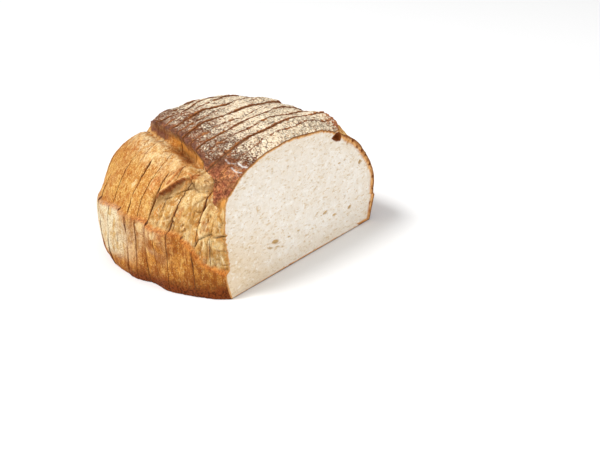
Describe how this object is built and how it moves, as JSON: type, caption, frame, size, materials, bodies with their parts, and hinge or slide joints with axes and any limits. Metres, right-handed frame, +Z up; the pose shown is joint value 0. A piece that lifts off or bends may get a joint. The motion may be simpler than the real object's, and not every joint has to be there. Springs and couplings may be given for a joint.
{
  "type": "sliced farmhouse loaf",
  "caption": "Crusty farmhouse loaf, cut across at one end and sliced through, the slices still standing together in the loaf's shape, on a flat base.",
  "frame": {"origin": "middle of the loaf's footprint, on the surface that it rests on", "axes": "+Z up, +X from side to side along the cut, +Y from the cut face to the uncut heel"},
  "size_m": [0.2176, 0.172, 0.1139],
  "materials": {
    "crust": "matt, rough baked crust, floured on top",
    "crumb": "matt, porous bread crumb"
  },
  "bodies": {
    "root": {"slice_01": "crumb", "slice_02": "crust", "slice_03": "crust", "slice_04": "crust", "slice_05": "crust", "slice_06": "crust", "slice_07": "crust", "slice_08": "crust", "slice_09": "crust", "slice_10": "crust", "slice_11": "crust", "slice_12": "crust", "slice_13": "crust", "heel": "crust"}
  },
  "joints": []
}
